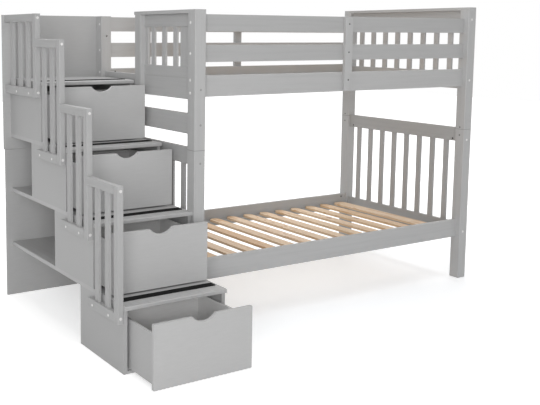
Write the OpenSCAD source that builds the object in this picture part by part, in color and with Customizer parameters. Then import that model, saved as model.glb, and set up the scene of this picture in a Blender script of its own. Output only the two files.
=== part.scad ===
// Twin over twin bunk bed with a drawer staircase at its left end.
// The bed stands on four posts, each in two lengths. Its left end has the way in from
// the top of the stairs. The stairs are a stepped cabinet whose four boards are treads
// in front and shelves behind, with a drawer under each tread and a stepped guard.

/* [Bed frame] */
// Outside length of the bed over its posts
bed_l = 2020; // [1980:1:2120]
// Outside width of the bed over its posts
bed_w = 1075; // [1040:1:1160]
// Width of a post along the bed
post_x = 64; // [60:1:70]
// Width of a post across the bed
post_y = 66; // [60:1:70]
// Radius of the eased edges of the posts
post_r = 3; // [1:0.5:5]
// Height of the joint between the two lengths of each post
post_joint = 928; // [900:1:950]
// How much taller the right posts are than the left ones
right_rise = 47; // [30:1:90]
// Thickness of the cap boards on the posts
cap_t = 18; // [14:1:24]

/* [Side rails] */
// Height of an upper side rail and of the upper end rails
rail_h = 105; // [98:1:112]
// Height of a lower side rail
low_side_h = 109; // [102:1:116]
// Thickness of the side rails and guard rails
rail_t = 22; // [21:1:26]
// Distance from a post's outer face to the outer face of a rail
rail_set = 32; // [26:1:34]
// Height of the top edge of the lower side rails
lower_top = 367; // [355:1:380]
// Height of the top edge of the upper side rails
upper_top = 1295; // [1288:1:1302]
// Height of a guard rail
guard_rail_h = 84; // [70:1:90]
// Clear space under each guard rail
guard_space = 67; // [50:1:80]
// How far the left posts stand over the top guard rail
guard_low = 4; // [2:1:10]
// Width of the upright support in the middle of the guard rails
support_w = 52; // [40:1:70]
// Thickness of the upright support
support_t = 20; // [14:1:26]
// Radius of the eased edges of the rails and boards
edge_r = 2; // [1:0.5:3]

/* [Bed ends] */
// Thickness of the end boards
end_t = 22; // [20:1:26]
// Distance from a post's outer face to the outer face of an end board
end_set = 25; // [22:1:28]
// Distance from the top of the side rails down to the top of the upper end rails
end_low = 15; // [8:1:20]
// Height of the head board at the right end
head_h = 111; // [90:1:120]
// Height of the head board at the left end
head_left_h = 64; // [56:1:72]
// Height of the sill board under the slats of the left end
sill_h = 56; // [40:1:70]
// Length of the left end's boards between the front post and the guard post
left_span = 474; // [440:1:490]
// Width of the wide upright board in the left end
panel_board_w = 117; // [90:1:130]
// Width of the narrow upright board in the left end
panel_edge_w = 29; // [20:1:40]
// Distance between the slats of the left end
panel_pitch = 112; // [95:1:115]
// Width of the slats in the end frames
end_slat_w = 36; // [24:1:40]
// Thickness of the slats in the end frames
end_slat_t = 11; // [9:1:14]
// Number of slats in a full end frame
end_slats = 8; // [6:1:9]
// Distance from one slat of an end frame to the next
end_pitch = 109.5; // [90:0.5:112]
// Height of the rung board at the left end
rung_h = 103; // [90:1:115]
// Height of the lower edge of the rung board
rung_z = 1002; // [985:1:1015]
// Height of the top rail of a lower end frame
low_rail_h = 85; // [78:1:95]
// Height of the lower edge of that top rail
low_rail_z = 850; // [840:1:858]
// Height of the bottom rail of a lower end frame
foot_rail_h = 104; // [90:1:110]
// Height of the lower edge of that bottom rail
foot_rail_z = 240; // [230:1:250]
// How far a slat goes into the board above and below it
tenon = 8; // [5:1:12]

/* [Mattress slats] */
// Number of equal slats under a mattress, next to one wide slat
bed_slats = 13; // [11:1:15]
// Width of a mattress slat
bed_slat_w = 66; // [56:1:72]
// Width of the last slat at the right end
wide_slat_w = 93; // [80:1:110]
// Thickness of the mattress slats
bed_slat_t = 13; // [12:1:18]
// Distance from the top of a side rail down to the top of the slats
slat_low = 57; // [50:1:66]
// Distance from the left post to the first slat
slat_first = 39; // [20:1:50]
// Distance from the last slat to the right post
slat_last = 31; // [20:1:50]
// Clear distance from a slat's round end to the side rail
slat_end = 8; // [4:1:12]
// Thickness of the ledger under the ends of the slats
ledger_t = 22; // [18:1:30]
// Height of the ledger under the ends of the slats
ledger_h = 30; // [20:1:32]

/* [Fittings] */
// Diameter of the frame bolts
bolt_d = 6; // [5:0.5:8]
// Diameter of a bolt's head
bolt_head_d = 12; // [11:0.5:13]
// Height of a bolt's head
bolt_head_h = 5; // [4:0.5:6]
// Distance from a side rail's top edge to its upper bolt
bolt_in = 20.5; // [16:0.5:24]
// Distance between the two bolts of a side rail
bolt_apart = 64; // [50:1:68]
// Distance from the lower edge of a lower end's top rail to its bolt
low_bolt = 13; // [10:1:20]
// Distance from a rail's end to its cross dowel
cross_in = 34; // [28:1:40]
// Diameter of the cross dowels
cross_d = 13; // [9:0.5:14]
// How deep a cross dowel lies in its hole
cross_low = 5; // [3:0.5:6]
// Diameter of the dowels that join the post lengths
dowel_d = 10; // [8:0.5:14]
// Length of those dowels
dowel_l = 60; // [40:1:80]
// Clearance round the bolts and dowels
fit_gap = 0.3; // [0.2:0.05:0.5]

/* [Stairs] */
// Height of one step
rise = 312; // [308:1:313]
// Depth from one step's front edge to the next
going = 302; // [290:1:320]
// Thickness of the treads
tread_t = 20; // [16:1:24]
// Length of the treads from the bed to the guard
stair_w = 540; // [500:1:600]
// Distance from the guard post back to the front edge of the landing
landing_in = 10; // [4:1:20]
// Depth of the box that holds a drawer, from the tread's front edge
box_depth = 460; // [452:1:480]
// Thickness of the cabinet's side panels
side_t = 18; // [16:1:20]
// Distance from a tread's front edge to the panels and stiles behind it
nose = 16; // [14:1:20]
// Thickness of the board at the back of each drawer space
step_back_t = 12; // [8:1:14]
// Thickness of the panels behind the stairs
back_t = 12; // [9:1:18]
// Height of the kick board under the first drawer
kick_h = 14; // [10:1:15]
// How far the panels behind the stairs reach past the guard
panel_over = 13; // [6:1:30]
// How far they reach behind the left back post
panel_lap = 24; // [10:1:25]
// Height of the joint between the two panels behind the stairs
back_joint = 847; // [830:1:860]
// Depth of a grip strip
strip_w = 44; // [30:1:52]
// Thickness of a grip strip
strip_t = 3; // [1:0.5:5]
// Distance from a tread's front edge to its grip strip
strip_in = 72; // [60:1:80]

/* [Stair guard] */
// Thickness of the guard's stiles and rails
guard_t = 29; // [24:1:32]
// Width of a stile
stile_w = 40; // [34:1:50]
// How far a stile reaches below its tread's top
stile_low = 80; // [70:1:90]
// How far a stile reaches above its tread's top
stile_up = 534; // [500:1:580]
// Height of a guard's top rail
cap_rail_h = 40; // [36:1:55]
// Height of a guard's bottom rail
low_guard_h = 45; // [40:1:60]
// Width of a guard slat
guard_slat_w = 39; // [30:1:48]
// Thickness of a guard slat
guard_slat_t = 12; // [9:1:15]

/* [Drawers] */
// Clear height above a drawer front
front_gap = 1; // [1:0.5:4]
// Clear height between a tread and the front of the drawer over it
front_low = 7; // [4:1:14]
// Clear height between the floor and the front of the first drawer
floor_gap = 2; // [2:1:6]
// Thickness of a drawer front
front_t = 16; // [14:1:18]
// How far a drawer front covers each side panel
front_over = 4; // [2:1:5]
// How far a drawer front sits off the middle of its opening, towards the bed
front_shift = 4; // [0:1:5]
// Width of the finger scoop at the top of a front
scoop_w = 122; // [100:1:140]
// Depth of the finger scoop
scoop_h = 28; // [20:1:34]
// Length of a drawer's sides
box_l = 400; // [370:1:402]
// Height of a drawer's sides
box_h = 224; // [190:1:225]
// Thickness of a drawer's sides and back
box_t = 12; // [10:1:14]
// Thickness of a drawer's bottom
bottom_t = 6; // [4:1:8]
// Clear width between a drawer's side and the panel beside it
box_gap = 8; // [7:1:10]
// Distance from a front's top edge down to the drawer's sides
box_low = 46; // [40:1:47]
// Width of the runner strips under the drawers
runner_w = 20; // [18:1:24]
// Height of the runner strips
runner_h = 12; // [8:1:14]
// Clearance between a drawer and its runners
run_gap = 0.5; // [0.3:0.1:1]
// Clear distance from a closed drawer front to the panels behind it
stop_gap = 1; // [0.5:0.5:2]
// How far the first drawer stands to the side in its play
play_1 = 6; // [0:1:6]
// How far the second drawer stands to the side in its play
play_2 = 0; // [0:1:6]
// How far the third drawer stands to the side in its play
play_3 = 0; // [0:1:6]
// How far the fourth drawer stands to the side in its play
play_4 = 4; // [0:1:6]
// How far the first drawer stands open
open_1 = 204; // [0:1:250]
// How far the second drawer stands open
open_2 = 147; // [0:1:250]
// How far the third drawer stands open
open_3 = 118; // [0:1:250]
// How far the fourth drawer stands open
open_4 = 133; // [0:1:250]

/* [Hidden] */

paint = [0.68, 0.68, 0.69];
pine = [0.87, 0.75, 0.59];
black = [0.08, 0.08, 0.08];
steel = [0.55, 0.55, 0.56];

// Bed
inner_l = bed_l - 2*post_x;
inner_w = bed_w - 2*post_y;
guard_top = upper_top + 2*(guard_space + guard_rail_h);
guard_z = [upper_top + guard_space, guard_top - guard_rail_h];
left_top = guard_top + guard_low;
right_top = left_top + right_rise;
end_rail_top = upper_top - end_low;
end_mid = end_set + end_t/2;
guard_y = post_y + left_span;
slat_pitch = (inner_l - slat_first - slat_last - wide_slat_w)/bed_slats;
slat_len = bed_w - 2*(rail_set + rail_t + slat_end);

// Heights of the bolts along the bed and across it, each over the post's foot
along_low = [lower_top - bolt_in, lower_top - bolt_in - bolt_apart];
along_high = [upper_top - bolt_in, upper_top - bolt_in - bolt_apart,
    guard_z[0] + guard_rail_h/2, guard_z[1] + guard_rail_h/2];
across_low = [low_rail_z + low_bolt, foot_rail_z + foot_rail_h/2];
rail_bolt = end_rail_top - rail_h/2;
rung_bolt = rung_z + rung_h/2;
across_left = [rail_bolt, rung_bolt];
across_head_left = left_top - head_left_h/2;
across_right = [rail_bolt, right_top - head_h/2];
along_tip = post_x + cross_in + 10;
across_tip = post_y + cross_in + 10;

// Stairs, with the front edge of each tread and its top
steps = 4;
landing_y = guard_y + post_x + landing_in;
stair_end = bed_w;
function step_y(k) = landing_y - going*(steps - k);
function step_top(k) = rise*k;
function box_end(k) = k == steps ? stair_end : step_y(k) + box_depth;
side_left = -stair_w;
side_right = -side_t;
open_left = side_left + side_t;
open_right = side_right;

// Drawers
opens = [open_1, open_2, open_3, open_4];
plays = [play_1, play_2, play_3, play_4];
front_left = open_left - front_over + front_shift;
front_w = open_right - open_left + 2*front_over;
scoop_r = (pow(scoop_w/2, 2) + pow(scoop_h, 2))/(2*scoop_h);
groove = 6;
function front_z(k) = k == 1 ? floor_gap : step_top(k - 1) + front_low;
function front_h(k) = step_top(k) - tread_t - front_gap - front_z(k);
function box_z(k) = step_top(k) - tread_t - front_gap - box_low - box_h;
function front_back(k) = step_y(k) + nose - stop_gap - opens[k - 1];

// Origin under the middle of the whole bed with its stairs and open drawers
mid_x = (bed_l - stair_w - guard_t - panel_over)/2;
mid_y = (bed_w + back_t + front_back(1) - front_t)/2;

module placed() { translate([-mid_x, -mid_y, 0]) children(); }

// A rectangle with round corners
module eased(a, b, r) {
    translate([r, 0]) square([a - 2*r, b]);
    translate([0, r]) square([a, b - 2*r]);
    for (i = [r, a - r], j = [r, b - r]) translate([i, j]) circle(r = r, $fn = 32);
}
// Boards whose long edges are eased, along each axis
module board_x(p, s, r = edge_r) {
    translate(p) rotate([90, 0, 90]) linear_extrude(s[0]) eased(s[1], s[2], r);
}
module board_y(p, s, r = edge_r) {
    translate(p + [0, s[1], 0]) rotate([90, 0, 0]) linear_extrude(s[1]) eased(s[0], s[2], r);
}
module board_z(p, s, r = edge_r) {
    translate(p) linear_extrude(s[2]) eased(s[0], s[1], r);
}

// The hole for a bolt with its head at the origin and its tip along +Z
module bolt_hole(tip, cross) {
    translate([0, 0, -1]) cylinder(d = bolt_d + 2*fit_gap, h = tip + 2, $fn = 32);
    translate([0, 0, -1]) cylinder(d = bolt_head_d + 2*fit_gap, h = bolt_head_h + 1, $fn = 40);
    translate([0, 0, cross]) children();
}
module bolt(tip) {
    cylinder(d = bolt_d, h = tip, $fn = 32);
    difference() {
        cylinder(d = bolt_head_d, h = bolt_head_h, $fn = 40);
        translate([0, 0, -1]) cylinder(d = 5, h = 3.5, $fn = 6);
    }
}
// Places for the bolts: i is 0 at the left and 1 at the right, j is 0 in front and 1 at the back
module along(i, j, z) {
    y = rail_set + rail_t/2;
    translate([i*bed_l, j == 0 ? y : bed_w - y, z]) rotate([0, i == 0 ? 90 : -90, 0]) children();
}
module across(i, j, z) {
    x = i == 0 ? end_mid : bed_l - end_mid;
    translate([x, j*bed_w, z]) rotate([j == 0 ? -90 : 90, 0, 0]) children();
}
// A cross dowel's hole opens at the rail's inner face and stops short of its outer face
module cross_hole_along(i, j, z) {
    x = post_x + cross_in;
    translate([i == 0 ? x : bed_l - x, j == 0 ? rail_set + 2 : bed_w - rail_set - 2, z])
        rotate([j == 0 ? -90 : 90, 0, 0]) cylinder(d = cross_d + 2*fit_gap, h = rail_t, $fn = 36);
}
module cross_hole_across(i, j, z) {
    y = post_y + cross_in;
    x = end_set + 2;
    translate([i == 0 ? x : bed_l - x, j == 0 ? y : bed_w - y, z])
        rotate([0, i == 0 ? 90 : -90, 0]) cylinder(d = cross_d + 2*fit_gap, h = end_t, $fn = 36);
}
// In a guard rail it goes up from the lower edge
module cross_up(i, j, z, d, low, up) {
    x = post_x + cross_in;
    y = rail_set + rail_t/2;
    translate([i == 0 ? x : bed_l - x, j == 0 ? y : bed_w - y, z - low]) cylinder(d = d, h = low + up, $fn = 36);
}
module along_holes(i, j, zs, from_below) {
    for (z = zs) {
        along(i, j, z) bolt_hole(along_tip, 0);
        if (from_below) cross_up(i, j, z, cross_d + 2*fit_gap, guard_rail_h/2 + 1, 9);
        else cross_hole_along(i, j, z);
    }
}
module across_holes(i, j, zs) {
    for (z = zs) { across(i, j, z) bolt_hole(across_tip, 0); cross_hole_across(i, j, z); }
}
function across_list(i, j) = concat(across_low, i == 1 ? across_right : across_left,
    i == 0 && j == 0 ? [across_head_left] : []);

// Posts
module post(i, j, z0, z1) {
    difference() {
        board_z([i*(bed_l - post_x), j*(bed_w - post_y), z0], [post_x, post_y, z1 - z0], post_r);
        for (z = concat(along_low, along_high)) if (z > z0 && z < z1) along(i, j, z) bolt_hole(post_x, 0);
        for (z = across_list(i, j)) if (z > z0 && z < z1) across(i, j, z) bolt_hole(post_y, 0);
        translate([i*(bed_l - post_x) + post_x/2, j*(bed_w - post_y) + post_y/2, post_joint - dowel_l/2])
            cylinder(d = dowel_d + 2*fit_gap, h = dowel_l + 0.5, $fn = 36);
    }
}
module post_low(i, j) { color(paint) placed() post(i, j, 0, post_joint); }
module post_high(i, j) { color(paint) placed() post(i, j, post_joint, i == 0 ? left_top : right_top); }
module post_front_left_lower() { post_low(0, 0); }
module post_front_left_upper() { post_high(0, 0); }
module post_back_left_lower() { post_low(0, 1); }
// The back left post also has a spare hole that faces the way in
module post_back_left_upper() {
    difference() {
        post_high(0, 1);
        placed() translate([end_mid, bed_w - post_y - 1, left_top - 116])
            rotate([-90, 0, 0]) cylinder(d = 10, h = 31, $fn = 32);
    }
}
module post_front_right_lower() { post_low(1, 0); }
module post_front_right_upper() { post_high(1, 0); }
module post_back_right_lower() { post_low(1, 1); }
module post_back_right_upper() { post_high(1, 1); }
module post_dowels() {
    color(steel) placed() for (i = [0, 1], j = [0, 1])
        translate([i*(bed_l - post_x) + post_x/2, j*(bed_w - post_y) + post_y/2, post_joint - dowel_l/2])
            cylinder(d = dowel_d, h = dowel_l, $fn = 36);
}

// Cap boards, with round corners seen from above
module cap_left() {
    color(paint) placed() translate([0, 0, left_top]) linear_extrude(cap_t) eased(post_x, landing_y, 4);
}
module cap_right() {
    color(paint) placed() translate([bed_l - post_x, 0, right_top]) linear_extrude(cap_t)
        eased(post_x, bed_w, 4);
}

// Short post beside the way in, notched over the end rail
module guard_post() {
    color(paint) placed() difference() {
        board_z([0, guard_y, end_rail_top - rail_h], [post_x, post_x, left_top - end_rail_top + rail_h], post_r);
        translate([end_set, guard_y - 1, end_rail_top - rail_h - 1]) cube([post_x, post_x + 2, rail_h + 1]);
    }
}

// Slats of a bed end: places along the bed's width, between two heights
module end_stick(y, w, z0, z1, grow, deep) {
    translate([end_mid - end_slat_t/2 - grow, y - grow, z0 - deep])
        cube([end_slat_t + 2*grow, w + 2*grow, z1 - z0 + 2*deep]);
}
function full_ys() = [for (k = [0:end_slats - 1])
    bed_w/2 + end_pitch*(k - (end_slats - 1)/2) - end_slat_w/2];
module full_sticks(z0, z1, grow = 0, deep = tenon) {
    for (y = full_ys()) end_stick(y, end_slat_w, z0, z1, grow, deep);
}
// Mirrors a left end to the right end
module right_end() { translate([bed_l, 0, 0]) mirror([1, 0, 0]) children(); }

head_z = right_top - head_h;
head_left_z = left_top - head_left_h;
sill_top = end_rail_top + sill_h;
module end_board(z, h) { board_y([end_set, post_y, z], [end_t, inner_w, h]); }

module end_right_head_board() {
    color(paint) placed() difference() {
        right_end() end_board(head_z, head_h);
        right_end() full_sticks(end_rail_top, head_z, 0.2);
        for (j = [0, 1]) across_holes(1, j, [across_right[1]]);
    }
}
module end_right_slats() { color(paint) placed() right_end() full_sticks(end_rail_top, head_z); }
module end_right_rail() {
    color(paint) placed() difference() {
        right_end() end_board(end_rail_top - rail_h, rail_h);
        right_end() full_sticks(end_rail_top, head_z, 0.2);
        for (j = [0, 1]) across_holes(1, j, [rail_bolt]);
    }
}

// Upper left end, from the front post to the guard post
stick_mid = (post_y + panel_board_w + guard_y - panel_edge_w)/2;
module left_sticks(grow = 0) {
    for (k = [-1, 0, 1])
        end_stick(stick_mid + panel_pitch*k - end_slat_w/2, end_slat_w, sill_top, head_left_z, grow, tenon);
    end_stick(post_y + grow, panel_board_w, sill_top, head_left_z, grow, tenon);
    end_stick(guard_y - panel_edge_w - grow, panel_edge_w, sill_top, head_left_z, grow, tenon);
}
module end_left_head_board() {
    color(paint) placed() difference() {
        board_y([end_set, post_y, head_left_z], [end_t, left_span, head_left_h]);
        left_sticks(0.2);
        across_holes(0, 0, [across_head_left]);
    }
}
module end_left_slats() { color(paint) placed() left_sticks(); }
module end_left_sill_board() {
    color(paint) placed() difference() {
        board_y([end_set, post_y, end_rail_top], [end_t, left_span, sill_h]);
        left_sticks(0.2);
    }
}
module end_left_rail() {
    color(paint) placed() difference() {
        end_board(end_rail_top - rail_h, rail_h);
        for (j = [0, 1]) across_holes(0, j, [rail_bolt]);
    }
}
module end_left_rung() {
    color(paint) placed() difference() {
        end_board(rung_z, rung_h);
        for (j = [0, 1]) across_holes(0, j, [rung_bolt]);
    }
}

// Lower end frames, the same at both ends
foot_top = foot_rail_z + foot_rail_h;
module both_ends() { children(); right_end() children(); }
module lower_end_top_rails() {
    color(paint) placed() difference() {
        both_ends() end_board(low_rail_z, low_rail_h);
        both_ends() full_sticks(foot_top, low_rail_z, 0.2);
        for (i = [0, 1], j = [0, 1]) across_holes(i, j, [across_low[0]]);
    }
}
module lower_end_slats() { color(paint) placed() both_ends() full_sticks(foot_top, low_rail_z); }
module lower_end_bottom_rails() {
    color(paint) placed() difference() {
        both_ends() end_board(foot_rail_z, foot_rail_h);
        both_ends() full_sticks(foot_top, low_rail_z, 0.2);
        for (i = [0, 1], j = [0, 1]) across_holes(i, j, [across_low[1]]);
    }
}

// Side rails and guard rails, with j = 0 in front and j = 1 at the back
function rail_y(j) = j == 0 ? rail_set : bed_w - rail_set - rail_t;
module side_rail(j, z, h, zs, from_below = false) {
    difference() {
        board_x([post_x, rail_y(j), z], [inner_l, rail_t, h]);
        for (i = [0, 1]) along_holes(i, j, zs, from_below);
    }
}
module upper_rail(j) {
    color(paint) placed() side_rail(j, upper_top - rail_h, rail_h, [along_high[0], along_high[1]]);
}
module lower_rail(j) { color(paint) placed() side_rail(j, lower_top - low_side_h, low_side_h, along_low); }
module guard_rails(j) {
    color(paint) placed() for (k = [0, 1])
        side_rail(j, guard_z[k], guard_rail_h, [along_high[2 + k]], true);
}
module side_rail_front_upper() { upper_rail(0); }
module side_rail_front_lower() { lower_rail(0); }
module side_rail_back_upper() { upper_rail(1); }
module side_rail_back_lower() { lower_rail(1); }
module guard_rails_front() { guard_rails(0); }
module guard_rails_back() { guard_rails(1); }
module guard_rail_supports() {
    z0 = upper_top - rail_h + 4;
    color(paint) placed() for (y = [rail_set - support_t, bed_w - rail_set])
        board_z([bed_l/2 - support_w/2, y, z0], [support_w, support_t, guard_top - 4 - z0]);
}

// Mattress slats with round ends, lying on ledgers along the side rails
module ledgers(top) {
    for (y = [rail_set + rail_t, bed_w - rail_set - rail_t - ledger_t])
        translate([post_x, y, top - slat_low - bed_slat_t - ledger_h]) cube([inner_l, ledger_t, ledger_h]);
}
module slat_ledgers() { color(paint) placed() { ledgers(lower_top); ledgers(upper_top); } }
module bed_slat(x, w) {
    translate([x, rail_set + rail_t + slat_end, 0]) {
        translate([0, w/2]) square([w, slat_len - w]);
        for (y = [w/2, slat_len - w/2]) translate([w/2, y]) circle(d = w, $fn = 64);
    }
}
module wide_slat(x, w, r) {
    translate([x, rail_set + rail_t + slat_end, 0]) eased(w, slat_len, r);
}
module mattress_slats(top) {
    x0 = post_x + slat_first;
    translate([0, 0, top - slat_low - bed_slat_t]) {
        for (k = [0:bed_slats - 1]) linear_extrude(bed_slat_t) bed_slat(x0 + slat_pitch*k, bed_slat_w);
        linear_extrude(bed_slat_t) wide_slat(x0 + slat_pitch*bed_slats, wide_slat_w, 30);
    }
}
module mattress_slats_upper() { color(pine) placed() mattress_slats(upper_top); }
module mattress_slats_lower() { color(pine) placed() mattress_slats(lower_top); }

// Bolts through the posts, and the cross dowels that they screw into
module frame_bolts() {
    color(steel) placed() for (i = [0, 1], j = [0, 1]) {
        for (z = concat(along_low, along_high)) along(i, j, z) bolt(along_tip - 1);
        for (z = across_list(i, j)) across(i, j, z) bolt(across_tip - 1);
    }
}
module cross_dowels() {
    color(steel) placed() for (i = [0, 1], j = [0, 1]) {
        for (z = concat(along_low, along_high)) {
            x = post_x + cross_in;
            difference() {
                if (z > upper_top) cross_up(i, j, z, cross_d, 9, 8);
                else translate([i == 0 ? x : bed_l - x, j == 0 ? rail_set + 2 : bed_w - rail_set - 2, z])
                    rotate([j == 0 ? -90 : 90, 0, 0])
                        cylinder(d = cross_d, h = rail_t - 2 - cross_low, $fn = 36);
                along(i, j, z) translate([0, 0, post_x]) cylinder(d = bolt_d + 2*fit_gap, h = 60, $fn = 32);
            }
        }
        for (z = across_list(i, j)) {
            y = post_y + cross_in;
            difference() {
                translate([i == 0 ? end_set + 2 : bed_l - end_set - 2, j == 0 ? y : bed_w - y, z])
                    rotate([0, i == 0 ? 90 : -90, 0]) cylinder(d = cross_d, h = end_t - 2 - cross_low, $fn = 36);
                across(i, j, z) translate([0, 0, post_y]) cylinder(d = bolt_d + 2*fit_gap, h = 60, $fn = 32);
            }
        }
    }
}

// Panels behind the stairs, with a fine groove in front along their joint
module back_panel(x0, z0, z1) {
    color(paint) placed() difference() {
        translate([x0, stair_end, z0]) cube([panel_lap - x0, back_t, z1 - z0]);
        translate([x0 - 1, stair_end - 1, back_joint - 2]) cube([panel_lap - x0 + 2, 5, 4]);
    }
}
module stair_back_panel_upper() { back_panel(-stair_w - guard_t - panel_over, back_joint, left_top); }
module stair_back_panel_lower() { back_panel(-stair_w - guard_t - panel_over + 6, 0, back_joint); }

// Treads, each running back as a shelf, with an eased front edge
module tread(k) {
    color(paint) placed() translate([-stair_w, step_y(k), step_top(k) - tread_t]) rotate([90, 0, 90])
        linear_extrude(stair_w) {
            translate([5, 0]) square([stair_end - step_y(k) - 5, tread_t]);
            translate([0, 5]) square([10, tread_t - 10]);
            for (z = [5, tread_t - 5]) translate([5, z]) circle(r = 5, $fn = 32);
        }
}
module tread_1() { tread(1); }
module tread_2() { tread(2); }
module tread_3() { tread(3); }
module landing() { tread(4); }
module grip_strips() {
    color(black) placed() for (k = [1:steps])
        translate([-stair_w + 10, step_y(k) + strip_in, step_top(k)]) linear_extrude(strip_t)
            eased(stair_w - 25, strip_w, 4);
}

// Side panels and backs of the drawer spaces, between one tread and the next
module step_panel(x, k) {
    translate([x, step_y(k) + nose, step_top(k - 1)])
        cube([side_t, box_end(k) - step_y(k) - nose, rise - tread_t]);
}
module stair_sides_left() { color(paint) placed() for (k = [1:steps]) step_panel(side_left, k); }
module stair_sides_right() { color(paint) placed() for (k = [1:steps]) step_panel(side_right, k); }
module step_backs() {
    color(paint) placed() for (k = [1:steps - 1])
        translate([open_left, box_end(k) - step_back_t, step_top(k - 1)])
            cube([open_right - open_left, step_back_t, rise - tread_t]);
}
module kick_board() {
    color(paint) placed() translate([open_left, step_y(1) + nose, 0])
        cube([open_right - open_left, step_back_t, kick_h]);
}

// Stepped guard at the stairs' open side
guard_x = -stair_w - guard_t;
function guard_z0(k) = step_top(k) - stile_low;
function guard_z1(k) = k == steps ? left_top : step_top(k) + stile_up;
function guard_y0(k) = step_y(k) + nose + stile_w;
function guard_y1(k) = k == steps ? stair_end : step_y(k + 1) + nose;
module guard_sticks(grow = 0) {
    for (k = [1:steps]) {
        n = k == steps ? 3 : 2;
        gap = (guard_y1(k) - guard_y0(k) - n*guard_slat_w)/(n + 1);
        for (m = [0:n - 1])
            translate([guard_x + guard_t/2 - guard_slat_t/2 - grow,
                guard_y0(k) + gap + m*(gap + guard_slat_w) - grow, guard_z0(k) + low_guard_h - tenon])
                cube([guard_slat_t + 2*grow, guard_slat_w + 2*grow,
                    guard_z1(k) - cap_rail_h - guard_z0(k) - low_guard_h + 2*tenon]);
    }
}
module stair_guard_stiles() {
    color(paint) placed() for (k = [1:steps])
        board_z([guard_x, step_y(k) + nose, guard_z0(k)], [guard_t, stile_w, guard_z1(k) - guard_z0(k)], 3);
}
module stair_guard_rails() {
    color(paint) placed() difference() {
        for (k = [1:steps]) {
            long = guard_y1(k) - guard_y0(k);
            board_y([guard_x, guard_y0(k), guard_z0(k)], [guard_t, long, low_guard_h], 3);
            board_y([guard_x, guard_y0(k), guard_z1(k) - cap_rail_h], [guard_t, long, cap_rail_h], 3);
        }
        guard_sticks(0.2);
    }
}
module stair_guard_slats() { color(paint) placed() guard_sticks(); }

// Runner strips under the drawers' sides, fixed to the side panels
module drawer_runners() {
    color(paint) placed() for (k = [1:steps], x = [open_left, open_right - runner_w])
        translate([x, step_y(k) + nose + step_back_t + 2, box_z(k) - run_gap - runner_h])
            cube([runner_w, box_l + 6, runner_h]);
}

// Drawers: an overlaid front with a finger scoop, and a box with its bottom in grooves
box_left = open_left + box_gap;
box_w = open_right - open_left - 2*box_gap;
bottom_up = 8;
module drawer_bottom(k, grow = 0) {
    translate([box_left + plays[k - 1] + box_t - groove - grow, front_back(k) - groove - grow,
        box_z(k) + bottom_up - grow])
        cube([box_w - 2*box_t + 2*groove + 2*grow, box_l + groove + 2*grow, bottom_t + 2*grow]);
}
module drawer_front(k) {
    color(paint) placed() translate([0, front_back(k), 0]) difference() {
        translate([front_left + plays[k - 1], 0, front_z(k)])
            rotate([90, 0, 0]) linear_extrude(front_t) difference() {
            eased(front_w, front_h(k), edge_r);
            translate([front_w/2, front_h(k) + scoop_r - scoop_h]) circle(r = scoop_r, $fn = 96);
        }
        translate([0, -front_back(k), 0]) drawer_bottom(k, 0.15);
    }
}
module drawer_box(k) {
    x0 = box_left + plays[k - 1];
    z0 = box_z(k);
    z1 = z0 + bottom_up + bottom_t + 0.15;
    color(paint) placed() {
        for (x = [x0, x0 + box_w - box_t]) difference() {
            board_y([x, front_back(k), z0], [box_t, box_l, box_h], 1);
            drawer_bottom(k, 0.15);
        }
        translate([x0 + box_t + 0.1, front_back(k) + box_l - box_t, z1])
            cube([box_w - 2*box_t - 0.2, box_t, z0 + box_h - z1]);
        drawer_bottom(k);
    }
}
module drawer_1_front() { drawer_front(1); }
module drawer_1_box() { drawer_box(1); }
module drawer_2_front() { drawer_front(2); }
module drawer_2_box() { drawer_box(2); }
module drawer_3_front() { drawer_front(3); }
module drawer_3_box() { drawer_box(3); }
module drawer_4_front() { drawer_front(4); }
module drawer_4_box() { drawer_box(4); }

post_front_left_lower();
post_front_left_upper();
post_back_left_lower();
post_back_left_upper();
post_front_right_lower();
post_front_right_upper();
post_back_right_lower();
post_back_right_upper();
post_dowels();
cap_left();
cap_right();
guard_post();
end_right_head_board();
end_right_slats();
end_right_rail();
end_left_head_board();
end_left_slats();
end_left_sill_board();
end_left_rail();
end_left_rung();
lower_end_top_rails();
lower_end_slats();
lower_end_bottom_rails();
side_rail_front_upper();
side_rail_front_lower();
side_rail_back_upper();
side_rail_back_lower();
guard_rails_front();
guard_rails_back();
guard_rail_supports();
slat_ledgers();
mattress_slats_upper();
mattress_slats_lower();
frame_bolts();
cross_dowels();
stair_back_panel_upper();
stair_back_panel_lower();
tread_1();
tread_2();
tread_3();
landing();
grip_strips();
stair_sides_left();
stair_sides_right();
step_backs();
kick_board();
stair_guard_stiles();
stair_guard_rails();
stair_guard_slats();
drawer_runners();
drawer_1_front();
drawer_1_box();
drawer_2_front();
drawer_2_box();
drawer_3_front();
drawer_3_box();
drawer_4_front();
drawer_4_box();
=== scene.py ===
"""A twin bunk bed with a drawer staircase: paint, pine and fittings, in a white studio."""
import math

import bmesh
import bpy
from mathutils import Matrix, Vector


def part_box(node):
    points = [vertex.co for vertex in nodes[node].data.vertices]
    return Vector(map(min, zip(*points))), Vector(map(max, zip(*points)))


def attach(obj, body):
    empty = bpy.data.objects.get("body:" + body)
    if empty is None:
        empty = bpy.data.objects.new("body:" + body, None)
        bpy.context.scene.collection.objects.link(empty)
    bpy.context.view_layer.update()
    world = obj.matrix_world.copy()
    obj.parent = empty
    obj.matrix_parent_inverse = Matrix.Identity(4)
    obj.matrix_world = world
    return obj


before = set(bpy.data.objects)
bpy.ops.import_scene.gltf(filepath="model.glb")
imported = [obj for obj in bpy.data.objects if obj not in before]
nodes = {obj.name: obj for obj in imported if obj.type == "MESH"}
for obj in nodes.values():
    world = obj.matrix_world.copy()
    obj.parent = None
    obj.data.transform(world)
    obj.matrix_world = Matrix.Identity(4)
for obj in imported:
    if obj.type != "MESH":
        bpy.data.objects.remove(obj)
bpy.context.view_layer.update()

bed = "bed_and_stairs"

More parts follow.
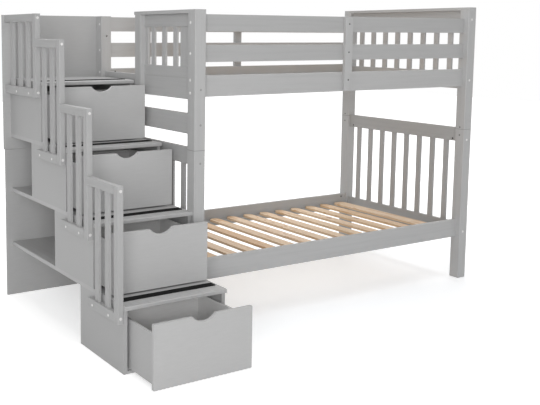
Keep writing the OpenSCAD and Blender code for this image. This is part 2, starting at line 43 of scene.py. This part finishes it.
# Sizes of the bed in metres. The corner is the front left post's outer front one, on the floor
first_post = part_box("post_front_left_lower")
last_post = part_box("post_back_right_lower")
CORNER = first_post[0]
BED_LONG, BED_WIDE, _ = last_post[1] - CORNER
POST_WIDE, POST_DEEP, _ = first_post[1] - CORNER
POST_JOINT = 0.928

# Sizes of the stairs, and how far its guard reaches below and above each board
STAIR_WIDE, GUARD_THICK, NOSE = 0.540, 0.029, 0.016
STEPS, RISE, GOING, LANDING_AT = 4, 0.312, 0.302, 0.614
GUARD_DROP, GUARD_REACH, GUARD_TOP = 0.080, 0.534, 1.601

# Sizes of the pine slats, and the gaps between them and the posts
SLATS, SLAT_WIDE, WIDE_SLAT = 13, 0.066, 0.093
FIRST_GAP, LAST_GAP = 0.039, 0.031
SLAT_PITCH = (BED_LONG - 2 * POST_WIDE - FIRST_GAP - LAST_GAP - WIDE_SLAT) / SLATS


# Camera

def set_camera(stand, yaw, pitch, roll, lens, shift):
    """A camera that stands at a place measured from the corner, turned by angles in degrees."""
    data = bpy.data.cameras.new("studio_camera")
    data.sensor_width = 36
    data.lens = lens
    data.shift_x, data.shift_y = shift
    data.clip_start, data.clip_end = 0.1, 60
    camera = bpy.data.objects.new("studio_camera", data)
    bpy.context.scene.collection.objects.link(camera)
    camera.matrix_world = (
        Matrix.Translation(CORNER + Vector(stand))
        @ Matrix.Rotation(math.radians(-yaw), 4, "Z")
        @ Matrix.Rotation(math.radians(90 - pitch), 4, "X")
        @ Matrix.Rotation(math.radians(-roll), 4, "Z")
    )
    bpy.context.scene.camera = camera


set_camera(
    stand=(-2.22527, -3.43420, 1.49714), yaw=30.925, pitch=6.350, roll=-0.239,
    lens=56.100, shift=(0.19444, -0.13796),
)


# Finishes

class Finish:
    """A node material, with a short way to add and join its nodes."""

    def __init__(self, name):
        self.material = bpy.data.materials.new(name)
        self.material.use_nodes = True
        self.tree = self.material.node_tree
        self.shader = self.tree.nodes["Principled BSDF"]
        from_piece = self.add("ShaderNodeTexCoord").outputs
        self.place = from_piece["Object"]
        self.facing = from_piece["Normal"]

    def add(self, kind, inputs=None, **settings):
        node = self.tree.nodes.new(kind)
        for key, value in settings.items():
            setattr(node, key, value)
        for key, value in (inputs or {}).items():
            self.join(value, node.inputs[key])
        return node

    def join(self, value, socket):
        if isinstance(value, bpy.types.NodeSocket):
            self.tree.links.new(value, socket)
        else:
            socket.default_value = value

    def math(self, operation, *values):
        node = self.add("ShaderNodeMath", operation=operation)
        for socket, value in zip(node.inputs, values):
            self.join(value, socket)
        return node.outputs[0]

    def vector(self, operation, first, second):
        return self.add("ShaderNodeVectorMath", {0: first, 1: second}, operation=operation).outputs[0]

    def distance(self, spot):
        """How far each point of the piece is from a spot."""
        node = self.add("ShaderNodeVectorMath", {0: self.place, 1: spot}, operation="DISTANCE")
        return node.outputs["Value"]

    def split(self, vector):
        return self.add("ShaderNodeSeparateXYZ", {"Vector": vector}).outputs

    def stretched(self, scale, place=None):
        """Places squeezed along one axis, so that a pattern on them is drawn out along it."""
        start = self.place if place is None else place
        return self.add("ShaderNodeMapping", {"Vector": start, "Scale": scale}).outputs["Vector"]

    def noise(self, place, scale, detail=4.0, roughness=0.55, distortion=0.0):
        return self.add("ShaderNodeTexNoise", {
            "Vector": place, "Scale": scale, "Detail": detail,
            "Roughness": roughness, "Distortion": distortion}).outputs["Fac"]

    def cells(self, place, scale):
        """The distance to the nearest of many scattered points."""
        node = self.add("ShaderNodeTexVoronoi", {"Vector": place, "Scale": scale, "Randomness": 1.0})
        return node.outputs["Distance"]

    def ramp(self, value, *stops):
        node = self.add("ShaderNodeValToRGB", {"Fac": value})
        band = node.color_ramp
        while len(band.elements) < len(stops):
            band.elements.new(0.5)
        for element, (at, colour) in zip(band.elements, stops):
            element.position = at
            element.color = (*colour, 1)
        return node.outputs["Color"]

    def level(self, value, low, high, out_low, out_high):
        return self.add("ShaderNodeMapRange", {
            "Value": value, "From Min": low, "From Max": high,
            "To Min": out_low, "To Max": out_high}).outputs["Result"]

    def mix(self, share, first, second, blend="MIX"):
        """Two colours mixed. The colour sockets of a Mix node are inputs 6 and 7 and output 2."""
        node = self.add("ShaderNodeMix", data_type="RGBA", blend_type=blend)
        for index, value in ((0, share), (6, first), (7, second)):
            self.join(value, node.inputs[index])
        return node.outputs[2]

    def stained(self, colour, pattern, low, high, share, stain):
        """A colour with up to a share of a stain, as the pattern goes from low to high."""
        return self.mix(self.level(pattern, low, high, 0, share), colour, (*stain, 1))

    def bump(self, height, strength, distance, under=None):
        node = self.add("ShaderNodeBump", {
            "Height": height, "Strength": strength, "Distance": distance})
        if under is not None:
            self.join(under, node.inputs["Normal"])
        return node.outputs["Normal"]

    def done(self, colour, roughness, normal, **constants):
        self.join(colour, self.shader.inputs["Base Color"])
        self.join(roughness, self.shader.inputs["Roughness"])
        self.join(normal, self.shader.inputs["Normal"])
        for key, value in constants.items():
            self.shader.inputs[key.replace("_", " ")].default_value = value
        return self.material


def grey(value, warm=0.0):
    return (value * (1 + warm), value, value * (1 - warm))


# Scales that draw the grain of a painted piece out along its length
ALONG = {"x": (0.035, 1, 1), "y": (1, 0.035, 1), "z": (1, 1, 0.035)}


def painted_pine(name, along, tone, joint=None):
    """Grey satin paint on pine, whose grain shows through as fine lines."""
    f = Finish(name)
    lines = f.stretched(ALONG[along])
    grain = f.noise(lines, scale=62, detail=6, roughness=0.62, distortion=0.25)
    pores = f.noise(lines, scale=300, detail=3, roughness=0.6)
    clouds = f.noise(f.place, scale=2.6, detail=3, roughness=0.5)
    orange_peel = f.noise(f.place, scale=900, detail=2, roughness=0.5)
    colour = f.ramp(grain, (0.28, grey(tone * 0.945)), (0.5, grey(tone)), (0.74, grey(tone * 1.032)))
    colour = f.stained(colour, clouds, 0.35, 0.65, 0.07, grey(tone * 0.86))
    colour = f.stained(colour, pores, 0.62, 0.72, 0.16, grey(tone * 0.72))
    if joint is not None:
        colour = joint_line(f, colour, joint, grey(tone * 0.30))
    skin = f.bump(orange_peel, strength=0.10, distance=0.0003)
    skin = f.bump(pores, strength=0.16, distance=0.0004, under=skin)
    skin = f.bump(grain, strength=0.30, distance=0.0010, under=skin)
    return f.done(colour, f.level(grain, 0.3, 0.7, 0.56, 0.46), skin, Specular_IOR_Level=0.3)


def joint_line(f, colour, height, dark):
    """A fine dark line round a post, where its upper length stands on the lower one."""
    off = f.math("ABSOLUTE", f.math("SUBTRACT", f.split(f.place)["Z"], height))
    return f.mix(f.level(off, 0.0008, 0.0020, 0.65, 0), colour, (*dark, 1))


def painted_board(name, tone, inside=None, dull=0.50, shiny=0.42):
    """The smoother grey paint of boards and panels. A tone for inside paints a drawer box's inner faces
    paler, as painted light in the box's shade.
    """
    f = Finish(name)
    clouds = f.noise(f.place, scale=1.8, detail=4, roughness=0.5)
    brushed = f.noise(f.stretched((0.12, 1, 1)), scale=140, detail=4, roughness=0.6)
    orange_peel = f.noise(f.place, scale=620, detail=3, roughness=0.5)
    colour = f.ramp(brushed, (0.3, grey(tone * 0.975)), (0.7, grey(tone * 1.02)))
    if inside is not None:
        # Painted light: the faces that look into the box, in shade there, get a paler coat
        painted_light_coat = f.ramp(brushed, (0.3, grey(inside * 0.97, 0.006)), (0.7, grey(inside * 1.02, 0.006)))
        colour = f.mix(inner_faces(f), colour, painted_light_coat)
    colour = f.stained(colour, clouds, 0.35, 0.65, 0.06, grey(tone * 0.88))
    skin = f.bump(orange_peel, strength=0.12, distance=0.0003)
    skin = f.bump(brushed, strength=0.10, distance=0.0005, under=skin)
    return f.done(colour, f.level(clouds, 0.3, 0.7, dull, shiny), skin, Specular_IOR_Level=0.3)


def inner_faces(f):
    """1 on the faces that look into a drawer's box, 0 on its other faces."""
    stair_middle = CORNER.x - STAIR_WIDE / 2
    bottom_half = 0.20
    turned = f.split(f.facing)
    off = f.math("SUBTRACT", stair_middle, f.split(f.place)["X"])
    side = f.math("GREATER_THAN", f.math("MULTIPLY", turned["X"], off), 0.02)
    back = f.math("LESS_THAN", turned["Y"], -0.5)
    up = f.math("GREATER_THAN", turned["Z"], 0.5)
    between = f.math("LESS_THAN", f.math("ABSOLUTE", off), bottom_half)
    bottom = f.math("MULTIPLY", up, between)
    return f.math("MAXIMUM", side, f.math("MAXIMUM", back, bottom))


# Colours of the pine and its fibres, of its darkest and palest slats, of its knots, and of the painted
# shade on the slats' sides
EARLY_WOOD, PALE_WOOD, LATE_WOOD = (0.760, 0.590, 0.415), (0.800, 0.635, 0.465), (0.620, 0.395, 0.215)
FIBRE, SHADED_SIDE_WOOD = (0.640, 0.455, 0.280), (0.640, 0.400, 0.205)
DARK_SLAT, PLAIN_SLAT, PALE_SLAT = (0.90, 0.80, 0.69), (1.0, 1.0, 1.0), (1.05, 1.06, 1.12)
KNOT_HEART, KNOT_RIM, NO_KNOT = (0.100, 0.040, 0.016), (0.300, 0.130, 0.050), (1, 1, 1)


def bare_pine(name):
    """Sanded pine slats: rings, fibres and knots along Y, each slat its own, with painted shade on their
    sides.
    """
    f = Finish(name)
    first = CORNER.x + POST_WIDE + FIRST_GAP - (SLAT_PITCH - SLAT_WIDE) / 2
    from_first = f.math("SUBTRACT", f.split(f.place)["X"], first)
    slat = f.math("FLOOR", f.math("DIVIDE", from_first, SLAT_PITCH))
    own = f.add("ShaderNodeTexWhiteNoise", {"W": slat}, noise_dimensions="1D").outputs
    away = f.vector("MULTIPLY", own["Color"], (7.0, 9.0, 5.0))
    moved = f.vector("ADD", f.place, away)
    knot = f.cells(f.stretched((1, 0.62, 1), moved), 4.6)
    wander = f.noise(f.stretched((1, 0.09, 1), moved), scale=7.5, detail=2, roughness=0.45, distortion=0.3)
    year = f.math("ADD", wander, f.level(knot, 0.02, 0.24, 0.55, 0.0))
    rings = f.math("SINE", f.math("MULTIPLY", year, 92.0))
    fibres = f.noise(f.stretched((1, 0.03, 1), moved), scale=420, detail=4, roughness=0.6)
    wood = f.ramp(rings, (0.10, EARLY_WOOD), (0.62, PALE_WOOD), (0.96, LATE_WOOD))
    wood = f.stained(wood, fibres, 0.35, 0.70, 0.30, FIBRE)
    tint = f.ramp(own["Value"], (0.0, DARK_SLAT), (0.5, PLAIN_SLAT), (1.0, PALE_SLAT))
    wood = f.mix(0.85, wood, tint, "MULTIPLY")
    heart = f.ramp(knot, (0.030, KNOT_HEART), (0.060, KNOT_RIM), (0.105, NO_KNOT))
    wood = f.mix(0.9, wood, heart, "MULTIPLY")
    # Painted shade: the slats' sides, facing along X, are made a darker orange-brown
    shaded_sides = f.math("ABSOLUTE", f.split(f.facing)["X"])
    wood = f.stained(wood, shaded_sides, 0.5, 0.95, 0.38, SHADED_SIDE_WOOD)
    skin = f.bump(fibres, strength=0.22, distance=0.0006)
    skin = f.bump(rings, strength=0.10, distance=0.0006, under=skin)
    return f.done(wood, f.level(rings, -1, 1, 0.62, 0.50), skin, IOR=1.45)


def grit(name):
    """The black strips: coarse grains in a matt binder."""
    f = Finish(name)
    grains = f.cells(f.place, 1100.0)
    worn = f.noise(f.place, scale=24, detail=4, roughness=0.6)
    colour = f.ramp(grains, (0.0, grey(0.020)), (0.5, grey(0.008)), (1.0, grey(0.003)))
    colour = f.stained(colour, worn, 0.45, 0.75, 0.35, (0.026, 0.026, 0.027))
    skin = f.bump(grains, strength=0.55, distance=0.0009)
    return f.done(colour, f.level(grains, 0, 0.6, 0.85, 0.98), skin, Specular_IOR_Level=0.1)


def plated(name, tone):
    """Dull plated or blackened steel of the bolts, dowels and screws."""
    f = Finish(name)
    turned = f.noise(f.place, scale=1500, detail=3, roughness=0.6)
    spots = f.noise(f.place, scale=130, detail=4, roughness=0.6)
    colour = f.ramp(spots, (0.3, grey(tone * 0.8, 0.01)), (0.7, grey(tone * 1.15, 0.01)))
    skin = f.bump(turned, strength=0.25, distance=0.0002)
    return f.done(colour, f.level(spots, 0.3, 0.7, 0.34, 0.52), skin, Metallic=1.0)


def white_plastic(name):
    """Moulded screw covers."""
    f = Finish(name)
    clouds = f.noise(f.place, scale=60, detail=3, roughness=0.5)
    fine = f.noise(f.place, scale=1300, detail=2, roughness=0.5)
    colour = f.ramp(clouds, (0.3, grey(0.64, 0.01)), (0.7, grey(0.72, 0.01)))
    skin = f.bump(fine, strength=0.1, distance=0.0002)
    return f.done(colour, f.level(clouds, 0.3, 0.7, 0.34, 0.44), skin, IOR=1.46)


PAINT = 0.440
grain_x = painted_pine("paint_grain_along_bed", "x", PAINT)
grain_y = painted_pine("paint_grain_across_bed", "y", PAINT)
grain_z = painted_pine("paint_grain_upright", "z", PAINT)
post_paint = painted_pine("paint_on_jointed_posts", "z", PAINT, joint=POST_JOINT)
# Painted shade: the lower end frames get a copy of the paint 11 % darker than PAINT
shaded_end_paint_y = painted_pine("shaded_paint_on_lower_end_rails", "y", PAINT * 0.89)
shaded_end_paint_z = painted_pine("shaded_paint_on_lower_end_slats", "z", PAINT * 0.89)
# Painted shade: the bunk's guard rails and the stair guards get copies of the paint 8 to 10 % darker than
# PAINT
shaded_guard_paint_x = painted_pine("shaded_paint_on_guard_rails", "x", PAINT * 0.92)
shaded_guard_paint_y = painted_pine("shaded_paint_on_stair_guard_rails", "y", PAINT * 0.90)
shaded_guard_paint_z = painted_pine("shaded_paint_on_stair_guards", "z", PAINT * 0.90)
# Painted light: the drawer fronts and step backs get a copy of the paint 5 % lighter than PAINT
lit_smooth_paint = painted_board("lighter_lit_paint_on_drawer_board", PAINT * 1.05)
# Painted shade: the stair's back panel gets a copy of the paint 5 % darker than PAINT
shaded_panel_paint = painted_board("shaded_paint_on_panel", PAINT * 0.95)
# Painted shade: the stair sides get a copy of the paint 10 % darker than PAINT
shaded_side_paint = painted_board("shaded_paint_on_stair_sides", PAINT * 0.90)
# The drawer boxes' inner faces get a paler tone: painted light in their shade
drawer_boxes_lit_inside = painted_board("drawer_box_boards_painted_lighter_inside", PAINT * 0.98, inside=0.76, dull=0.56, shiny=0.48)
pine = bare_pine("bare_pine_slats")
black_grit = grit("black_grit_strip")
dull_zinc = plated("dull_zinc", 0.30)
dark_steel = plated("dark_screw_steel", 0.10)
grey_steel = plated("grey_screw_steel", 0.20)
black_steel = plated("black_dowel_steel", 0.03)
cover_white = white_plastic("white_cover_plastic")

# The first row that a node's name starts with gives its finish
UPRIGHT = ("guard_post", "end_right_slats", "end_left_slats", "guard_rail_supports")
ACROSS = ("cap_", "end_right_", "end_left_", "tread_", "landing")
FINISHES = (
    (("frame_bolts", "post_dowels"), dull_zinc),
    (("cross_dowels",), black_steel),
    (("mattress_slats",), pine),
    (("grip_strips",), black_grit),
    (("drawer_1_front", "drawer_2_front", "drawer_3_front", "drawer_4_front"), lit_smooth_paint),
    (("drawer_runners",), grain_y),
    (("drawer_",), drawer_boxes_lit_inside),
    (("stair_back",), shaded_panel_paint),
    (("step_backs",), lit_smooth_paint),
    (("stair_sides",), shaded_side_paint),
    (("post_",), post_paint),
    (("guard_rails_front",), shaded_guard_paint_x),
    (("stair_guard_rails",), shaded_guard_paint_y),
    (("stair_guard_",), shaded_guard_paint_z),
    (("lower_end_slats",), shaded_end_paint_z),
    (("lower_end_",), shaded_end_paint_y),
    (UPRIGHT, grain_z),
    (ACROSS, grain_y),
    (("",), grain_x),
)
for name, node in nodes.items():
    finish = next(made for starts, made in FINISHES if name.startswith(starts))
    node.data.materials.clear()
    node.data.materials.append(finish)


# Fittings that the solids leave to this file

def standing_on(spot, facing):
    """A transform that puts a shape made up +Z at spot, pointing along facing."""
    turn = Vector((0, 0, 1)).rotation_difference(Vector(facing))
    return Matrix.Translation(CORNER + Vector(spot)) @ turn.to_matrix().to_4x4()


def press_cover(mesh, place, radius=0.0072, height=0.0016):
    """A shallow domed cap that presses over a screw."""
    made = bmesh.ops.create_cone(
        mesh, cap_ends=True, segments=32, radius1=radius, radius2=radius * 0.94,
        depth=height, matrix=Matrix.Translation((0, 0, height / 2)))["verts"]
    rim = [e for e in {e for v in made for e in v.link_edges}
           if all(v.co.z > height * 0.9 for v in e.verts)]
    bevelled = bmesh.ops.bevel(
        mesh, geom=rim, offset=height * 0.6, segments=3, profile=0.5, affect="EDGES", material=-1)
    everything = {v for v in made if v.is_valid} | set(bevelled["verts"])
    bmesh.ops.transform(mesh, matrix=place, verts=list(everything))


def screw_head(mesh, place, radius, height=0.0012):
    """A low screw head with a driver recess."""
    made = bmesh.ops.create_cone(
        mesh, cap_ends=True, segments=24, radius1=radius, radius2=radius * 0.72,
        depth=height, matrix=Matrix.Translation((0, 0, height / 2)))["verts"]
    top = next(f for f in {f for v in made for f in v.link_faces} if f.normal.z > 0.99)
    bmesh.ops.inset_region(mesh, faces=[top], thickness=radius * 0.30)
    inner = bmesh.ops.extrude_discrete_faces(mesh, faces=[top])["faces"][0]
    bmesh.ops.translate(mesh, vec=(0, 0, -height * 0.7), verts=inner.verts)
    found, grown = set(made) | set(inner.verts), True
    while grown:
        more = {v for f in {f for v in found for f in v.link_faces} for v in f.verts}
        grown = not more <= found
        found |= more
    bmesh.ops.transform(mesh, matrix=place, verts=list(found))


def make_piece(name, body, finish, build):
    mesh = bmesh.new()
    build(mesh)
    bmesh.ops.recalc_face_normals(mesh, faces=mesh.faces)
    data = bpy.data.meshes.new(name)
    mesh.to_mesh(data)
    mesh.free()
    data.materials.append(finish)
    data.shade_smooth()
    data.set_sharp_from_angle(angle=math.radians(35))
    piece = bpy.data.objects.new(name, data)
    bpy.context.scene.collection.objects.link(piece)
    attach(piece, body)


# Heights of the bolts and screws that show, and how far in from the bed's outside they are
SIDE_BOLTS, SIDE_BOLTS_IN = (1.555, 1.404, 1.2745, 1.2105), 0.043
END_BOLTS, END_BOLTS_IN = (0.292, 0.863, 1.2275, 1.5925), 0.036
HEAD_BOLT = 1.569
SUPPORT_SCREWS, SUPPORTS_IN = (1.557, 1.404, 1.253), 0.012
JOINT_SCREWS = (0.891, 0.940)

# Places of the covers along each guard's bottom rail, from the front of the bed
RAIL_COVERS = ((-0.183, -0.020), (0.120, 0.269), (0.432, 0.588), (0.729, 0.904))
RAIL_COVER_UP = 0.018
STILE_COVER_DOWN, STILE_COVER_UP = 0.022, 0.025

# Radii of the smaller covers and of the screw heads, and the plug's thickness
RAIL_COVER, PLUG, PLUG_THICK = 0.0062, 0.0069, 0.0006
SUPPORT_SCREW, JOINT_SCREW = 0.0048, 0.0058


def post_covers(mesh):
    """White caps over the side rails' bolts in the left posts."""
    for y in (SIDE_BOLTS_IN, BED_WIDE - SIDE_BOLTS_IN):
        for z in SIDE_BOLTS:
            press_cover(mesh, standing_on((0, y, z), (-1, 0, 0)))


def guard_covers(mesh):
    """White caps on the front of each guard's stile, and along its bottom rail's outer side."""
    outside = -STAIR_WIDE - GUARD_THICK
    middle = -STAIR_WIDE - GUARD_THICK / 2
    for step, places in enumerate(RAIL_COVERS, 1):
        front = LANDING_AT - GOING * (STEPS - step) + NOSE
        low = RISE * step - GUARD_DROP
        high = GUARD_TOP if step == STEPS else RISE * step + GUARD_REACH
        for z in (high - STILE_COVER_DOWN, low + STILE_COVER_UP):
            press_cover(mesh, standing_on((middle, front, z), (0, -1, 0)))
        for y in places:
            press_cover(mesh, standing_on((outside, y, low + RAIL_COVER_UP), (-1, 0, 0)), RAIL_COVER)


def end_covers(mesh):
    """White caps over the bolts of the right end."""
    for y, facing in ((0, -1), (BED_WIDE, 1)):
        for z in END_BOLTS:
            press_cover(mesh, standing_on((BED_LONG - END_BOLTS_IN, y, z), (0, facing, 0)))


def head_plug(mesh):
    """A painted plug over the bolt of the left head board."""
    press_cover(mesh, standing_on((END_BOLTS_IN, 0, HEAD_BOLT), (0, -1, 0)), PLUG, PLUG_THICK)


def support_screws(mesh):
    """Three screws in each upright support in the middle of the side rails."""
    for y, facing in ((SUPPORTS_IN, -1), (BED_WIDE - SUPPORTS_IN, 1)):
        for z in SUPPORT_SCREWS:
            screw_head(mesh, standing_on((BED_LONG / 2, y, z), (0, facing, 0)), SUPPORT_SCREW)


def joint_screws(mesh):
    """Two screws on each post's inner side, above and below its joint."""
    for x, facing in ((POST_WIDE, 1), (BED_LONG - POST_WIDE, -1)):
        for y in (POST_DEEP / 2, BED_WIDE - POST_DEEP / 2):
            for z in JOINT_SCREWS:
                screw_head(mesh, standing_on((x, y, z), (facing, 0, 0)), JOINT_SCREW)


make_piece("post_screw_covers", bed, cover_white, post_covers)
make_piece("guard_screw_covers", bed, cover_white, guard_covers)
make_piece("end_screw_covers", bed, cover_white, end_covers)
make_piece("head_board_plug", bed, grain_z, head_plug)
make_piece("support_screws", bed, dark_steel, support_screws)
make_piece("joint_screws", bed, grey_steel, joint_screws)


# Studio

FLOOR_HALF, FLOOR_DOWN = 14, 0.0005
WHITE = (1, 1, 1, 1)
# The cool grey is painted under the bunks to cancel the pine's warm bounced light
FLOOR_GREY, COOL_GREY = (0.86, 0.86, 0.86, 1), (0.828, 0.860, 0.898, 1)
LAMPLIT_SPOT, UNDER_BUNKS = (1.0, 0.1, 0.0), (0.35, 0.25, 0.0)


def rays_that_see(tree):
    """1 for rays that see the white studio itself, 0 for those that only bring its light."""
    rays = tree.nodes.new("ShaderNodeLightPath").outputs
    seen = rays["Is Camera Ray"]
    for kind in ("Is Glossy Ray", "Is Transmission Ray"):
        either = tree.nodes.new("ShaderNodeMath")
        either.operation = "MAXIMUM"
        tree.links.new(seen, either.inputs[0])
        tree.links.new(rays[kind], either.inputs[1])
        seen = either.outputs[0]
    return seen


def floor_finish():
    """White paper, painted a little cooler under the bunks to cancel the warm light that the pine throws
    down.
    """
    f = Finish("studio_floor_white")
    paper_painted_cooler = f.mix(f.level(f.distance(UNDER_BUNKS), 0.7, 1.7, 0, 1), COOL_GREY, FLOOR_GREY)
    texture = f.bump(f.noise(f.place, scale=30), strength=0.02, distance=0.001)
    f.done(paper_painted_cooler, 0.6, texture, Specular_IOR_Level=0.1)
    # Lifted to white away from the bed, where the soft lights fall off
    lift = f.level(f.distance(LAMPLIT_SPOT), 1.5, 4.2, 0.38, 1.0)
    strength = f.math("MULTIPLY", rays_that_see(f.tree), lift)
    glow = f.add("ShaderNodeEmission", {"Color": WHITE, "Strength": strength})
    both = f.add("ShaderNodeAddShader", {0: f.shader.outputs[0], 1: glow.outputs[0]})
    f.join(both.outputs[0], f.tree.nodes["Material Output"].inputs["Surface"])
    return f.material


def set_floor():
    mesh = bmesh.new()
    bmesh.ops.create_grid(mesh, x_segments=1, y_segments=1, size=FLOOR_HALF)
    bmesh.ops.translate(mesh, vec=(0, 0, -FLOOR_DOWN), verts=mesh.verts)
    data = bpy.data.meshes.new("studio_floor")
    mesh.to_mesh(data)
    mesh.free()
    data.materials.append(floor_finish())
    floor = bpy.data.objects.new("studio_floor", data)
    bpy.context.scene.collection.objects.link(floor)


def set_world():
    """Plain dim light from all round, which looks white itself."""
    world = bpy.data.worlds.new("studio_white")
    bpy.context.scene.world = world
    world.use_nodes = True
    tree = world.node_tree
    plain = tree.nodes["Background"]
    plain.inputs["Color"].default_value = WHITE
    plain.inputs["Strength"].default_value = 0.22
    white = tree.nodes.new("ShaderNodeBackground")
    white.inputs["Color"].default_value = WHITE
    white.inputs["Strength"].default_value = 1.0
    mix = tree.nodes.new("ShaderNodeMixShader")
    tree.links.new(rays_that_see(tree), mix.inputs[0])
    tree.links.new(plain.outputs[0], mix.inputs[1])
    tree.links.new(white.outputs[0], mix.inputs[2])
    tree.links.new(mix.outputs[0], tree.nodes["World Output"].inputs["Surface"])


def soft_light(name, at, towards, size, watts):
    data = bpy.data.lights.new(name, "AREA")
    data.shape = "RECTANGLE"
    data.size, data.size_y = size
    data.energy = watts
    lamp = bpy.data.objects.new(name, data)
    bpy.context.scene.collection.objects.link(lamp)
    lamp.location = at
    lamp.rotation_euler = (Vector(towards) - Vector(at)).to_track_quat("-Z", "Y").to_euler()


set_floor()
set_world()
soft_light("camera_side_soft_light", (-5.0, -6.8, 1.9), (0, 0, 0.8), size=(4.6, 3.2), watts=350)
soft_light("left_soft_light", (-3.9, -0.6, 3.8), (0, 0, 0.8), size=(3.5, 2.5), watts=24)
soft_light("top_soft_light", (0.2, 0.0, 5.2), (0, 0, 0), size=(6.0, 5.0), watts=150)
soft_light("back_soft_light", (0.5, 4.2, 4.6), (0, 0, 0.6), size=(5.0, 3.0), watts=100)
soft_light("right_soft_light", (4.2, -4.2, 2.6), (0, 0, 0.8), size=(3.0, 2.5), watts=12)
soft_light("right_back_soft_light", (4.8, 3.0, 3.2), (0, 0, 0.8), size=(3.5, 2.5), watts=62)

bpy.context.scene.view_settings.view_transform = "Standard"
